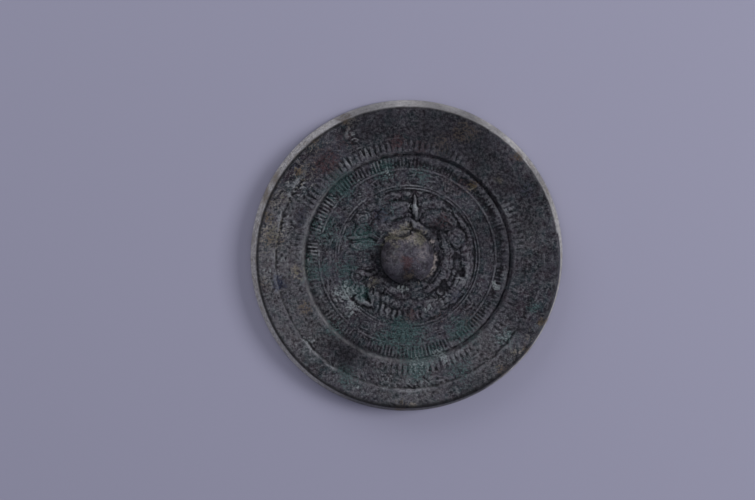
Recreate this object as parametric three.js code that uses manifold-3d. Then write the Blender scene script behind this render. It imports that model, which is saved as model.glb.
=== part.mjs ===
// A Chinese bronze mirror of the Eastern Han, cast in one piece and lying on its polished face.
// Millimetres, +Z up. The origin is on the surface that it lies on, under the middle of the knob,
// and +Y runs along the cord hole through the knob.
import * as THREE from 'three';
import { mergeVertices } from 'three/addons/utils/BufferGeometryUtils.js';
import Module from 'manifold-3d';

// --- The disc ---------------------------------------------------------------------------------
const FACE_RADIUS = 60;         // the polished face, the mirror's widest circle
const FACE_FLAT_RADIUS = 24;    // the middle of the face is worn flat, so that it lies still
const FACE_SAG = 0.9;           // how far the slightly convex face curves up at its edge
const LIP_RADIUS = 57.8;        // the sharp outer lip of the decorated side
const LIP_HEIGHT = 8.6;         // thickness at the lip
const RIM_INNER_RADIUS = 51.1;  // the plain slanted rim ends here
const RIM_INNER_HEIGHT = 7.7;
const OUTER_ZONE_HEIGHT = 6.8;  // the ground of the raised outer zone
const STEP_TOP_RADIUS = 40.5;   // the slope between the outer and the inner zone
const STEP_FOOT_RADIUS = 38.9;
const INNER_ZONE_HEIGHT = 3.8;  // the ground of the comb and inscription bands
const FIELD_HEIGHT = 3.5;       // the ground under the two beasts
const TURN_STEPS = 60;          // facets round the disc

// --- The raised rings: radius of the middle, half width, height over the ground -----------------
const FILLET_RING = { radius: 45.95, half: 0.5, height: 0.3 };
const COMB_RING = { radius: 33.9, half: 0.6, height: 0.5 };
const FIELD_RINGS = [{ radius: 27.6, half: 0.45, height: 0.55 }, { radius: 26.5, half: 0.4, height: 0.6 }];
const SEAT = { outer: 13.2, height: 4.3 };  // the plain seat round the knob's foot

// --- The toothed bands ------------------------------------------------------------------------
const COMB = { count: 164, inner: 34.8, outer: 38.7, width: 0.9, height: 0.5 };
const SAW = { count: 126, inner: 41, outer: 45, width: 1.7, height: 0.5 };
const SUNK = 0.3;               // how deep a tooth's foot is set into the ground

// --- The knob and its cord hole ------------------------------------------------------------------
const KNOB = { radius: 10.3, foot: 4.2, height: 8.6 };
const HOLE = { width: 6.2, side: 2.6, floor: SEAT.height - 0.15, reach: 14.2 };

// --- The beasts ------------------------------------------------------------------------------
// Places on a beast are [degrees from the line where the two heads meet, radius].
const MEETING_ANGLE = 166;      // that line, in degrees from +X
const TIGER = { side: 1, hip: [155, 19.9] };       // side is the way round that a beast lies
const DRAGON = { side: -1, hip: [119, 21.2], claws: 9, firstClaw: 62, clawStep: 5.8 };
const RIDGE_SIDES = 8;
const RIDGE_STEPS = 8;
const CLAW_SIDES = 6;
const SUNK_SHARE = 0.35;        // the hidden lower half of a ridge is this much of its height

const wasm = await Module();
wasm.setup();

function solidFrom(geometry) {
  geometry.deleteAttribute('normal');
  geometry.deleteAttribute('uv');
  const merged = mergeVertices(geometry, 1e-4);
  const corners = merged.index.array;
  const kept = [];
  for (let i = 0; i < corners.length; i += 3) {
    const [a, b, c] = corners.subarray(i, i + 3);
    if (a !== b && b !== c && c !== a) kept.push(a, b, c);
  }
  return new wasm.Manifold(new wasm.Mesh({
    numProp: 3,
    vertProperties: new Float32Array(merged.attributes.position.array),
    triVerts: new Uint32Array(kept),
  }));
}

function geometryFrom(solid) {
  const mesh = solid.getMesh();
  const geometry = new THREE.BufferGeometry();
  geometry.setAttribute('position', new THREE.BufferAttribute(mesh.vertProperties, 3));
  geometry.setIndex(new THREE.BufferAttribute(mesh.triVerts, 1));
  geometry.computeVertexNormals();
  return geometry;
}

function onDisc(degrees, radius, height = 0) {
  const turn = THREE.MathUtils.degToRad(degrees);
  return new THREE.Vector3(radius * Math.cos(turn), radius * Math.sin(turn), height);
}

function ringProfile({ radius, half, height }, ground) {
  return [
    [radius + half, ground],
    [radius, ground + height],
    [radius - half, ground],
  ];
}

function disc() {
  const face = [[0, 0], [FACE_FLAT_RADIUS, 0]];
  for (const share of [0.5, 1]) {
    const radius = THREE.MathUtils.lerp(FACE_FLAT_RADIUS, FACE_RADIUS - 0.4, share);
    face.push([radius, FACE_SAG * share ** 2]);
  }
  const decorated = [
    [FACE_RADIUS, FACE_SAG + 0.7],
    [LIP_RADIUS + 0.1, LIP_HEIGHT - 0.5],
    [LIP_RADIUS - 0.3, LIP_HEIGHT],
    [RIM_INNER_RADIUS, RIM_INNER_HEIGHT],
    [RIM_INNER_RADIUS - 0.4, OUTER_ZONE_HEIGHT],
    ...ringProfile(FILLET_RING, OUTER_ZONE_HEIGHT),
    [STEP_TOP_RADIUS, OUTER_ZONE_HEIGHT],
    [STEP_FOOT_RADIUS, INNER_ZONE_HEIGHT],
    ...ringProfile(COMB_RING, INNER_ZONE_HEIGHT),
    ...ringProfile(FIELD_RINGS[0], INNER_ZONE_HEIGHT),
    ...ringProfile(FIELD_RINGS[1], FIELD_HEIGHT),
    [SEAT.outer + 0.3, FIELD_HEIGHT],
    [SEAT.outer - 0.2, SEAT.height],
    [0, SEAT.height],
  ];
  const outline = [...face, ...decorated].map(([radius, height]) => new THREE.Vector2(radius, height));
  return solidFrom(new THREE.LatheGeometry(outline, TURN_STEPS).rotateX(Math.PI / 2));
}

// One ridge of the comb band: a bar along the radius with a tent-shaped section.
function combTooth() {
  const section = new THREE.Shape([
    new THREE.Vector2(-COMB.width / 2, -SUNK),
    new THREE.Vector2(COMB.width / 2, -SUNK),
    new THREE.Vector2(0, COMB.height),
  ]);
  const bar = new THREE.ExtrudeGeometry(section, { depth: COMB.outer - COMB.inner, bevelEnabled: false });
  bar.rotateX(Math.PI / 2).rotateZ(Math.PI / 2);
  return bar.translate(COMB.inner, 0, INNER_ZONE_HEIGHT);
}

// One tooth of the saw band: a triangle with its foot towards the step and its point outwards.
function sawTooth() {
  const tooth = new THREE.Shape([
    new THREE.Vector2(SAW.inner, -SAW.width / 2),
    new THREE.Vector2(SAW.outer, 0),
    new THREE.Vector2(SAW.inner, SAW.width / 2),
  ]);
  const plate = new THREE.ExtrudeGeometry(tooth, { depth: SAW.height + SUNK, bevelEnabled: false });
  return plate.translate(0, 0, OUTER_ZONE_HEIGHT - SUNK);
}

function toothedBand(toothShape, count) {
  const teeth = [];
  for (let k = 0; k < count; k++) {
    teeth.push(solidFrom(toothShape().rotateZ((2 * Math.PI * k) / count)));
  }
  return teeth;
}

// A round boss, half sunk in the ground that it rises from.
function boss(centre, radius, height, sides = RIDGE_SIDES + 2, steps = RIDGE_STEPS - 2) {
  const ball = new THREE.SphereGeometry(1, sides, steps).rotateX(Math.PI / 2);
  const position = ball.attributes.position;
  for (let i = 0; i < position.count; i++) {
    const rise = position.getZ(i);
    position.setXYZ(
      i,
      centre.x + position.getX(i) * radius,
      centre.y + position.getY(i) * radius,
      centre.z + rise * height * (rise > 0 ? 1 : SUNK_SHARE),
    );
  }
  return solidFrom(ball);
}

// A rounded ridge along a smooth line through the given points: a ball drawn out along the line.
function ridge(points, [startWidth, endWidth], height, sides = RIDGE_SIDES) {
  const line = new THREE.CatmullRomCurve3(points);
  const ball = new THREE.SphereGeometry(1, sides, RIDGE_STEPS);
  const position = ball.attributes.position;
  for (let i = 0; i < position.count; i++) {
    const along = Math.acos(THREE.MathUtils.clamp(position.getY(i), -1, 1)) / Math.PI;
    const girth = Math.sin(along * Math.PI);
    const fullness = girth < 1e-6 ? 0 : girth ** 0.45 / girth;
    const across = position.getX(i) * fullness;
    const rise = position.getZ(i) * fullness;
    const centre = line.getPoint(along);
    const ahead = line.getTangent(along);
    const halfWidth = THREE.MathUtils.lerp(startWidth, endWidth, along) / 2;
    position.setXYZ(
      i,
      centre.x - ahead.y * across * halfWidth,
      centre.y + ahead.x * across * halfWidth,
      FIELD_HEIGHT + rise * height * (rise > 0 ? 1 : SUNK_SHARE),
    );
  }
  return solidFrom(ball);
}

// The makers of one beast's bosses and limbs, from places on it.
function formsOn({ side }) {
  const at = ([degrees, radius]) => onDisc(MEETING_ANGLE - side * degrees, radius, FIELD_HEIGHT);
  return {
    round: (place, radius, height, ...faceting) => boss(at(place), radius, height, ...faceting),
    limb: (places, widths, height, sides) => ridge(places.map(at), widths, height, sides),
  };
}

function head(beast) {
  const { round, limb } = formsOn(beast);
  return [
    limb([[17, 12], [11, 16.6], [8.5, 22.4]], [6, 7.4], 2.2),                 // muzzle
    limb([[4, 12.2], [2.6, 17], [3, 23]], [3.2, 3.2], 1.5, CLAW_SIDES),       // jaw
    limb([[14, 24.4], [19.5, 19.8], [27.5, 16.4], [30, 12.4]], [2, 2.2], 2.5, CLAW_SIDES),  // brow
    round([24.5, 20.6], 2.5, 1.8, 8, 6),                                      // eye socket
    round([24.5, 20.6], 0.95, 2.4, 6, 4),                                     // eye
    round([37, 22.4], 3.3, 1.9),                                              // ear
    limb([[31, 18.2], [42, 15.8], [57, 12.6]], [5.6, 8.6], 2.2),              // neck
  ];
}

// The tiger lies over the top of the knob, and its tail runs down the right side.
function tiger() {
  const { round, limb } = formsOn(TIGER);
  return [
    ...head(TIGER),
    limb([[47, 14.6], [66, 18], [88, 20.4]], [7.6, 8.6], 2.3),                // foreleg
    limb([[46, 24.8], [57, 22.4], [68, 23.2]], [3.4, 3.6], 1.5, CLAW_SIDES),  // mane
    limb([[64, 24.6], [76, 24.2], [89, 24.4]], [3.4, 2.8], 1.3, CLAW_SIDES),  // forepaw
    limb([[84, 15.2], [98, 13], [118, 12.6]], [3.6, 3.4], 1.7),               // belly
    limb([[99, 14.6], [95, 19], [92, 24.4]], [3.4, 1.7], 2.8, CLAW_SIDES),    // wing
    limb([[102, 20], [113, 22.8], [128, 24.2]], [5.6, 3.8], 1.6, CLAW_SIDES),  // back
    limb([[105, 14.8], [124, 18.8], [145, 21.8]], [7.4, 9.4], 2.6),           // thigh
    round(TIGER.hip, 3.9, 2.4),                                               // hip
    limb([[132, 24.7], [154, 25], [176, 24.8]], [2.4, 2.2], 1.4, CLAW_SIDES),  // hind paw
    limb([[136, 16], [168, 15.1], [206, 15], [243, 14.6]], [5.8, 5.6], 2.5),  // tail
  ];
}

// The dragon lies under the knob. Its thick tail runs up outside the tiger's, with a gap between them.
function dragon() {
  const { round, limb } = formsOn(DRAGON);
  const parts = [
    ...head(DRAGON),
    limb([[38, 24.8], [48, 24.2], [60, 22.8]], [3.2, 2.8], 1.8, CLAW_SIDES),  // horn
    limb([[42, 17.4], [53, 19.6], [61, 23.6]], [5.6, 4.2], 2.2),              // foreleg
    limb([[44, 14], [80, 14.2], [118, 14.4]], [5, 5], 2.0),                   // belly
    limb([[58, 18.4], [86, 18.6], [114, 19]], [4.4, 4.2], 1.9),               // flank
    round(DRAGON.hip, 4, 2.4),                                                // hip
    limb([[118, 22.4], [148, 22.9], [176, 23.2], [208, 22.8]], [6.4, 5.6], 2.3),  // tail
  ];
  for (let claw = 0; claw < DRAGON.claws; claw++) {
    const degrees = DRAGON.firstClaw + claw * DRAGON.clawStep;
    parts.push(limb([[degrees, 20.2], [degrees + 1.5, 25]], [2, 1.5], 1.6, CLAW_SIDES));
  }
  return parts;
}

// The arch that the cord passes through, open at both sides of the knob.
function cordHole() {
  const arch = new THREE.Shape();
  const half = HOLE.width / 2;
  arch.moveTo(-half, HOLE.floor);
  arch.lineTo(half, HOLE.floor);
  arch.lineTo(half, HOLE.floor + HOLE.side);
  arch.absarc(0, HOLE.floor + HOLE.side, half, 0, Math.PI, false);
  const bar = new THREE.ExtrudeGeometry(arch, {
    depth: 2 * HOLE.reach,
    bevelEnabled: false,
    curveSegments: 8,
  });
  return solidFrom(bar.rotateX(Math.PI / 2).translate(0, HOLE.reach, 0));
}

function castMirror() {
  const raised = [
    ...toothedBand(combTooth, COMB.count),
    ...toothedBand(sawTooth, SAW.count),
    ...tiger(),
    ...dragon(),
    boss(new THREE.Vector3(0, 0, KNOB.foot), KNOB.radius, KNOB.height, 36, 14),
  ];
  const cast = raised.reduce((metal, form) => metal.add(form), disc());
  return geometryFrom(cast.subtract(cordHole()));
}

const bronze = new THREE.MeshStandardMaterial({ color: 0x4a4d4b, roughness: 0.6, metalness: 0.5 });
const mirror = new THREE.Mesh(castMirror(), bronze);
mirror.name = 'bronze_mirror';

const part = new THREE.Group();
part.add(mirror);
export default part;
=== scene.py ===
from math import cos, pi, radians, sin

import bmesh
import bpy
import numpy as np
from mathutils import Matrix, Vector, noise


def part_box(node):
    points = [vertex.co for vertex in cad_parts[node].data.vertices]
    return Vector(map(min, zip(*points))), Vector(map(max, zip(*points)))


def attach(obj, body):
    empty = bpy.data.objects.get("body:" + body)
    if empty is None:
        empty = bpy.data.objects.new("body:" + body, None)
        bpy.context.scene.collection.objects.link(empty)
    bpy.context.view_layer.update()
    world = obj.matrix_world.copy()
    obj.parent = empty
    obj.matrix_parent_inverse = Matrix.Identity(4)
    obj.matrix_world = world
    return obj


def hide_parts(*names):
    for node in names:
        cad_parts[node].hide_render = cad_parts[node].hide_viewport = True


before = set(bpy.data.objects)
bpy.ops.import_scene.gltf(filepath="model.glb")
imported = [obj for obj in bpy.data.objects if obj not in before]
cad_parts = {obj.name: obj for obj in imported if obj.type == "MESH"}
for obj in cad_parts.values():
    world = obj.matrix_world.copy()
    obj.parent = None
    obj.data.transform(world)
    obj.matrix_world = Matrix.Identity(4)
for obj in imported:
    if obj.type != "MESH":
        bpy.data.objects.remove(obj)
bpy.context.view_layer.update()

# --- The casting: disc, rim, zones and knob -----------------------------------------------------
# One pour of high-tin bronze in a two-part clay mould. The profile below is the mould's section
# from the middle of the polished face, round the edge and in over the decorated side to the knob.
MM = 0.001
face_edge, _, knob_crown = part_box("bronze_mirror")[1]
FACE_RADIUS, KNOB_TOP = face_edge / MM, knob_crown / MM
FACE_FLAT_RADIUS = 24.0
FACE_SAG, FACE_ROUNDING = 0.9, 0.4
LIP_RADIUS, LIP_HEIGHT = 57.8, 8.6
RIM_INNER_RADIUS, RIM_INNER_HEIGHT = 51.1, 7.7
OUTER_GROUND, CLOUDS_INNER = 6.8, 46.5
FILLET_OUTER, FILLET_INNER, FILLET_HEIGHT = 46.1, 45.8, 0.35
STEP_TOP_RADIUS, STEP_FOOT_RADIUS = 40.5, 38.9
INNER_GROUND = 3.8
COMB_RING_OUTER, COMB_RING_INNER = 34.1, 33.7
SIGNS_OUTER, SIGNS_INNER = 33.4, 28.2
OUTER_RING_OUTER, OUTER_RING_INNER = 27.75, 27.4
RING_HEIGHT = 0.5
FIELD_OUTER, FIELD_GROUND = 26.05, 3.5
INNER_RING_OUTER, INNER_RING_INNER, INNER_RING_HEIGHT = 26.7, 26.35, 0.6
SEAT_RADIUS, SEAT_HEIGHT = 13.2, 4.3
KNOB_RADIUS, KNOB_FOOT = 10.3, 4.2
KNOB_HEIGHT = KNOB_TOP - KNOB_FOOT
SAW_TEETH, SAW_COLUMNS, SAW_INNER, SAW_OUTER = 126, 6, 41.0, 45.0
COMB_TEETH, COMB_COLUMNS, COMB_INNER, COMB_OUTER = 164, 5, 34.8, 38.7


def sagging_face(radius):
    share = (radius - FACE_FLAT_RADIUS) / (FACE_RADIUS - FACE_ROUNDING - FACE_FLAT_RADIUS)
    return FACE_SAG * max(0.0, share) ** 2


def dome(turn):
    """A point of the knob's dome, from its foot at turn 0 to its crown at turn 1."""
    angle = turn * pi / 2
    return KNOB_RADIUS * cos(angle), KNOB_FOOT + KNOB_HEIGHT * sin(angle)


def ramp(corners):
    """Points along straight lines between corners. A corner is (radius, height, steps up to it)."""
    points = [corners[0][:2]]
    for (r0, z0, _), (r1, z1, steps) in zip(corners, corners[1:]):
        points += [(r0 + (r1 - r0) * k / steps, z0 + (z1 - z0) * k / steps) for k in range(1, steps + 1)]
    return points


# Each band of the section is (columns of vertices round the axis, its line from outside to inside).
BANDS = {
    "polished_face": (200, [
        (r, sagging_face(r)) for r in np.linspace(0.0, FACE_RADIUS - FACE_ROUNDING, 16)
    ]),
    "edge_and_rim": (400, ramp([
        (FACE_RADIUS - 0.12, FACE_SAG + 0.25, 0), (FACE_RADIUS, FACE_SAG + 0.7, 1),
        (LIP_RADIUS + 0.1, LIP_HEIGHT - 0.45, 9), (LIP_RADIUS - 0.08, LIP_HEIGHT - 0.1, 1),
        (LIP_RADIUS - 0.4, LIP_HEIGHT, 1), (RIM_INNER_RADIUS + 0.3, RIM_INNER_HEIGHT, 13),
    ])),
    "cloud_band": (860, ramp([
        (RIM_INNER_RADIUS, RIM_INNER_HEIGHT - 0.1, 0), (RIM_INNER_RADIUS - 0.45, OUTER_GROUND, 2),
        (CLOUDS_INNER, OUTER_GROUND, 13), (FILLET_OUTER, OUTER_GROUND + FILLET_HEIGHT, 1),
        (FILLET_INNER, OUTER_GROUND + FILLET_HEIGHT, 1), (45.45, OUTER_GROUND, 1),
    ])),
    "saw_band": (SAW_TEETH * SAW_COLUMNS, ramp([
        (SAW_OUTER + 0.2, OUTER_GROUND, 0), (SAW_INNER, OUTER_GROUND, 9),
        (SAW_INNER - 0.25, OUTER_GROUND, 1),
    ])),
    "comb_band": (COMB_TEETH * COMB_COLUMNS, ramp([
        (STEP_TOP_RADIUS, OUTER_GROUND - 0.1, 0), (STEP_FOOT_RADIUS, INNER_GROUND + 0.1, 3),
        (COMB_OUTER - 0.05, INNER_GROUND, 1), (COMB_INNER, INNER_GROUND, 6),
        (COMB_INNER - 0.2, INNER_GROUND, 1),
    ])),
    "inscription_band": (660, ramp([
        (34.4, INNER_GROUND, 0), (COMB_RING_OUTER, INNER_GROUND + RING_HEIGHT, 1),
        (COMB_RING_INNER, INNER_GROUND + RING_HEIGHT, 1),
        (SIGNS_OUTER, INNER_GROUND, 1), (SIGNS_INNER, INNER_GROUND, 16),
    ])),
    "beast_field": (560, ramp([
        (28.0, INNER_GROUND, 0), (OUTER_RING_OUTER, INNER_GROUND + RING_HEIGHT, 1),
        (OUTER_RING_INNER, INNER_GROUND + RING_HEIGHT, 1), (27.1, INNER_GROUND - 0.1, 1),
        (INNER_RING_OUTER, FIELD_GROUND + INNER_RING_HEIGHT, 1),
        (INNER_RING_INNER, FIELD_GROUND + INNER_RING_HEIGHT, 1),
        (FIELD_OUTER, FIELD_GROUND, 1), (SEAT_RADIUS + 0.5, FIELD_GROUND, 42),
    ])),
    "seat_and_knob": (240, ramp([
        (SEAT_RADIUS + 0.25, FIELD_GROUND + 0.1, 0), (SEAT_RADIUS - 0.2, SEAT_HEIGHT, 2),
        (KNOB_RADIUS + 0.15, SEAT_HEIGHT, 5),
    ]) + [dome(0.03 + 0.97 * k / 24) for k in range(25)]),
}


def spun_band(columns, profile):
    """A section drawn out of one corner of a plane, point by point, and spun round the axis."""
    bpy.ops.object.select_all(action="DESELECT")
    bpy.ops.mesh.primitive_plane_add(size=MM, location=(0, 0, 0))
    band = bpy.context.object
    bpy.ops.object.mode_set(mode="EDIT")
    bpy.ops.mesh.merge(type="CENTER")
    (r0, z0), rest = profile[0], profile[1:]
    bpy.ops.transform.translate(value=(r0 * MM, 0, z0 * MM))
    for radius, height in rest:
        step = ((radius - r0) * MM, 0, (height - z0) * MM)
        bpy.ops.mesh.extrude_region_move(TRANSFORM_OT_translate={"value": step})
        r0, z0 = radius, height
    bpy.ops.mesh.select_all(action="SELECT")
    bpy.ops.mesh.spin(steps=columns, angle=2 * pi, center=(0, 0, 0), axis=(0, 0, 1))
    bpy.ops.mesh.select_all(action="SELECT")
    bpy.ops.mesh.remove_doubles(threshold=0.002 * MM)
    bpy.ops.object.mode_set(mode="OBJECT")
    return band


def bridge_open_rings(piece, outer, inner):
    """Closes the narrow gap between the open rings of two bands, given as (radius, height)."""
    bpy.ops.object.mode_set(mode="EDIT")
    bpy.ops.mesh.select_mode(type="EDGE")
    bpy.ops.mesh.select_all(action="DESELECT")
    grid = bmesh.from_edit_mesh(piece.data)
    rings = [(r * MM, z * MM) for r, z in (outer, inner)]
    for edge in grid.edges:
        if edge.is_boundary:
            x, y, z = edge.verts[0].co
            radius = (x * x + y * y) ** 0.5
            edge.select = any(abs(radius - r) < 0.01 * MM and abs(z - h) < 0.01 * MM for r, h in rings)
    bmesh.update_edit_mesh(piece.data)
    bpy.ops.mesh.bridge_edge_loops()
    bpy.ops.object.mode_set(mode="OBJECT")


spun = [spun_band(columns, profile) for columns, profile in BANDS.values()]
bpy.ops.object.select_all(action="DESELECT")
for band in spun:
    band.select_set(True)
mirror = spun[0]
bpy.context.view_layer.objects.active = mirror
bpy.ops.object.join()
mirror.name = mirror.data.name = "cast_bronze_mirror"
profiles = [profile for _, profile in BANDS.values()]
for outside, inside in zip(profiles, profiles[1:]):
    bridge_open_rings(mirror, outside[-1], inside[0])


# --- The relief pressed into the section --------------------------------------------------------
# Comb ridges, saw teeth, scrolling clouds, groups of strokes and two coiled beasts, all cut in the
# clay mould and cast with the disc. Each form lifts the vertices under it. Lengths are millimetres.
DECORATED_ABOVE = 3.0
COMB_HEIGHT, SAW_HEIGHT, SAW_WIDTH = 0.5, 0.5, 1.7
CLOUDS, CLOUD_RADIUS, CLOUD_HALF_WIDTH, CLOUD_HEIGHT = 34, 48.5, 0.3, 0.34
STROKE_GROUPS, STROKE_RADIUS, STROKE_HALF_WIDTH, STROKE_HEIGHT = 26, 30.8, 0.34, 0.55
MEETING_ANGLE = 166.0
CURLS, CURL_HALF_WIDTH, CURL_HEIGHT = 70, 0.3, 0.5

spots = np.empty(len(mirror.data.vertices) * 3)
mirror.data.vertices.foreach_get("co", spots)
spots = spots.reshape(-1, 3) / MM
x, y, z = spots[:, 0], spots[:, 1], spots[:, 2]
radius, angle = np.hypot(x, y), np.arctan2(y, x) % (2 * pi)
decorated = (z > DECORATED_ABOVE) & (radius < LIP_RADIUS - 0.3)
relief = np.zeros(len(spots))


def band_mask(inner, outer):
    return decorated & (radius > inner) & (radius < outer)


def noise_at(scale, octaves=3, offset=0.0, mask=slice(None)):
    """Fractal noise from about -1 to 1 at each vertex. Its largest lumps are about scale across."""
    lumps = (spots[mask] + offset) / scale
    return np.array([noise.fractal(Vector(p), 0.8, 2.0, octaves) for p in lumps])


def turn_columns(mask, teeth, columns, phase_of):
    """Turns each tooth's columns of vertices to new places, so that its edges run along them."""
    index = np.rint(angle[mask] / (2 * pi) * teeth * columns).astype(int) % (teeth * columns)
    phase = phase_of(index % columns, radius[mask])
    angle[mask] = (index // columns + 0.5 + phase) / teeth * 2 * pi
    return phase


def comb_phase(column, _):
    return np.choose(column, [-0.5, -0.3, -0.14, 0.14, 0.3])


def saw_phase(column, at_radius):
    """The teeth narrow from the step outwards to a blunt point."""
    share = np.clip((SAW_OUTER - at_radius) / (SAW_OUTER - SAW_INNER), 0, 1)
    half = (0.55 + 0.45 * share) * SAW_WIDTH / 2 / (2 * pi * at_radius / SAW_TEETH)
    return np.choose(column, [-0.5, -half - 0.04, -half + 0.06, 0.0, half - 0.06, half + 0.04])


comb = band_mask(COMB_INNER - 0.3, COMB_OUTER)
phase = turn_columns(comb, COMB_TEETH, COMB_COLUMNS, comb_phase)
inside = (radius[comb] > COMB_INNER - 0.05) & (radius[comb] < COMB_OUTER - 0.02)
relief[comb] = COMB_HEIGHT * (np.abs(phase) < 0.2) * inside

saw = band_mask(SAW_INNER - 0.1, SAW_OUTER + 0.3)
column = np.rint(angle[saw] / (2 * pi) * SAW_TEETH * SAW_COLUMNS).astype(int) % SAW_COLUMNS
turn_columns(saw, SAW_TEETH, SAW_COLUMNS, saw_phase)
tip = np.clip((SAW_OUTER + 0.25 - radius[saw]) / 1.2, 0, 1) ** 0.5
relief[saw] = SAW_HEIGHT * np.isin(column, (2, 3, 4)) * tip
x[:], y[:] = radius * np.cos(angle), radius * np.sin(angle)


def smooth_line(corners, steps=24):
    """Points of a smooth line through a few corners."""
    corners = np.array(corners, float)
    ends = [2 * corners[0] - corners[1], *corners, 2 * corners[-1] - corners[-2]]
    line = []
    for k in range(steps + 1):
        turn = k / steps * (len(corners) - 1)
        i = min(int(turn), len(corners) - 2)
        t, (a, b, c, d) = turn - i, ends[i:i + 4]
        line.append(((2 * b) + (c - a) * t + (2 * a - 5 * b + 4 * c - d) * t * t
                     + (3 * b - a - 3 * c + d) * t ** 3) / 2)
    return np.array(line)


def nearest_on(px, py, line):
    """For each place: its distance from the line, the share of the line passed, and the side it is on."""
    best, share, side = np.full(px.shape, 1e9), np.zeros(px.shape), np.ones(px.shape)
    for k, ((ax, ay), (bx, by)) in enumerate(zip(line, line[1:])):
        dx, dy = bx - ax, by - ay
        t = np.clip(((px - ax) * dx + (py - ay) * dy) / max(dx * dx + dy * dy, 1e-9), 0, 1)
        away = np.hypot(px - ax - t * dx, py - ay - t * dy)
        nearer = away < best
        best = np.where(nearer, away, best)
        share = np.where(nearer, (k + t) / (len(line) - 1), share)
        side = np.where(nearer, np.sign(dx * (py - ay) - dy * (px - ax)), side)
    return best, share, side


def raised_line(px, py, line, half_width, height):
    away, _, _ = nearest_on(px, py, line)
    return height * np.sqrt(np.clip(1 - (away / half_width) ** 2, 0, 1))


# Clouds: one scroll is a pair of slanting stems that end in curls, one turned half round to the other.
def curl(centre_p, centre_q, start, turns, outer=0.85, inner=0.3):
    sweep = np.linspace(0, 1, 12)
    bend = start + sweep * turns * 2 * pi
    size = outer + (inner - outer) * sweep
    return np.column_stack([centre_p + size * np.cos(bend), centre_q + size * np.sin(bend)])


cloud_length = 2 * pi * CLOUD_RADIUS / CLOUDS
stem = np.vstack([[(-4.4, -1.5), (-2.9, -1.5), (-1.0, -0.2), (0.2, 1.2)], curl(-0.9, 0.9, 0.35, 1.1, 1.15)])
scroll = [stem, np.array([(-3.8, -0.4), (-2.4, -0.2), (-2.3, 0.8)]), np.array([(-4.2, 0.9), (-3.1, 1.8)])]
scroll += [-line for line in scroll]
cloud = band_mask(CLOUDS_INNER, RIM_INNER_RADIUS - 0.5)
cloud_drift = 0.5 * noise_at(3.0, 2, 3.0, cloud)
across = radius[cloud] - CLOUD_RADIUS + 0.4 * noise_at(2.5, 2, 7.0, cloud)
for shift in (-cloud_length, 0.0, cloud_length):
    along = (angle[cloud] / (2 * pi) * CLOUDS % 1 - 0.5) * cloud_length + shift + cloud_drift
    for line in scroll:
        lifted = raised_line(along, across, line, CLOUD_HALF_WIDTH, CLOUD_HEIGHT)
        relief[cloud] = np.maximum(relief[cloud], lifted)

# Inscription: each sign is a few short bars and ticks, which spell nothing.
draw = np.random.default_rng(7)
inscription = band_mask(SIGNS_INNER + 0.1, SIGNS_OUTER - 0.1)
spin_of_spot = angle[inscription] / (2 * pi) * STROKE_GROUPS
group_pitch = 2 * pi * STROKE_RADIUS / STROKE_GROUPS
for group in range(STROKE_GROUPS):
    pitches_away = (spin_of_spot - group - 0.5 + STROKE_GROUPS / 2) % STROKE_GROUPS - STROKE_GROUPS / 2
    along = pitches_away * group_pitch
    across = radius[inscription] - STROKE_RADIUS
    strokes = []
    bars = draw.integers(2, 4)
    for bar in range(bars):
        level = -1.7 + 3.4 * (bar + draw.uniform(0.2, 0.8)) / bars
        half, slant, lean = draw.uniform(0.7, 1.7), draw.uniform(-0.35, 0.35), draw.uniform(-0.5, 0.5)
        strokes.append(np.array([(lean - half, level - slant), (lean + half, level + slant)]))
    for _ in range(draw.integers(1, 4)):
        p, q, lean = draw.uniform(-1.6, 1.6), draw.uniform(-1.6, 1.6), draw.uniform(-0.6, 0.6)
        strokes.append(np.array([(p - lean, q - 0.6), (p + lean, q + 0.6)]))
    for line in strokes:
        lifted = raised_line(along, across, line, STROKE_HALF_WIDTH, STROKE_HEIGHT)
        relief[inscription] = np.maximum(relief[inscription], lifted)

# Beasts: two heads meet at the left, the tiger lies over the top of the knob and the dragon under it.
# A place on a beast is (degrees from the line where the heads meet, distance from the knob's axis).
field = band_mask(KNOB_RADIUS + 0.7, FIELD_OUTER + 0.05)
field_x = x[field] + 0.55 * noise_at(2.4, 2, 13.0, field)
field_y = y[field] + 0.55 * noise_at(2.4, 2, 37.0, field)


def on_beast(side, degrees, distance):
    turn = radians(MEETING_ANGLE - side * degrees)
    return np.array((distance * cos(turn), distance * sin(turn)))


def groove(value, centre, half_width):
    return np.clip(1 - ((value - centre) / half_width) ** 2, 0, 1)


def limb(side, places, widths, height, stripes=(), bars=0):
    """A rounded ridge that tapers at both ends, with grooves along it and curved bars across it."""
    line = smooth_line([on_beast(side, *place) for place in places])
    away, share, edge_side = nearest_on(field_x, field_y, line)
    girth = np.clip(np.sin(pi * share), 1e-3, 1) ** 0.45
    half_width = (widths[0] + (widths[1] - widths[0]) * share) / 2 * girth
    across = away / half_width
    form = height * girth * np.clip(1 - across ** 2, 0, 1) ** 0.65
    for stripe in stripes:
        stripe_half_width = 0.3 / np.maximum(half_width, 0.5)
        form = form - 0.42 * groove(across * edge_side, stripe, stripe_half_width) * (across < 1)
    if bars:
        beat = (share * bars + 0.35 * across ** 2) % 1
        form = form - 0.2 * groove(beat, 0.5, 0.3) * (across < 0.85)
    return np.maximum(form, 0)


def far_from(side, degrees, distance):
    centre = on_beast(side, degrees, distance)
    return np.hypot(field_x - centre[0], field_y - centre[1])


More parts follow.
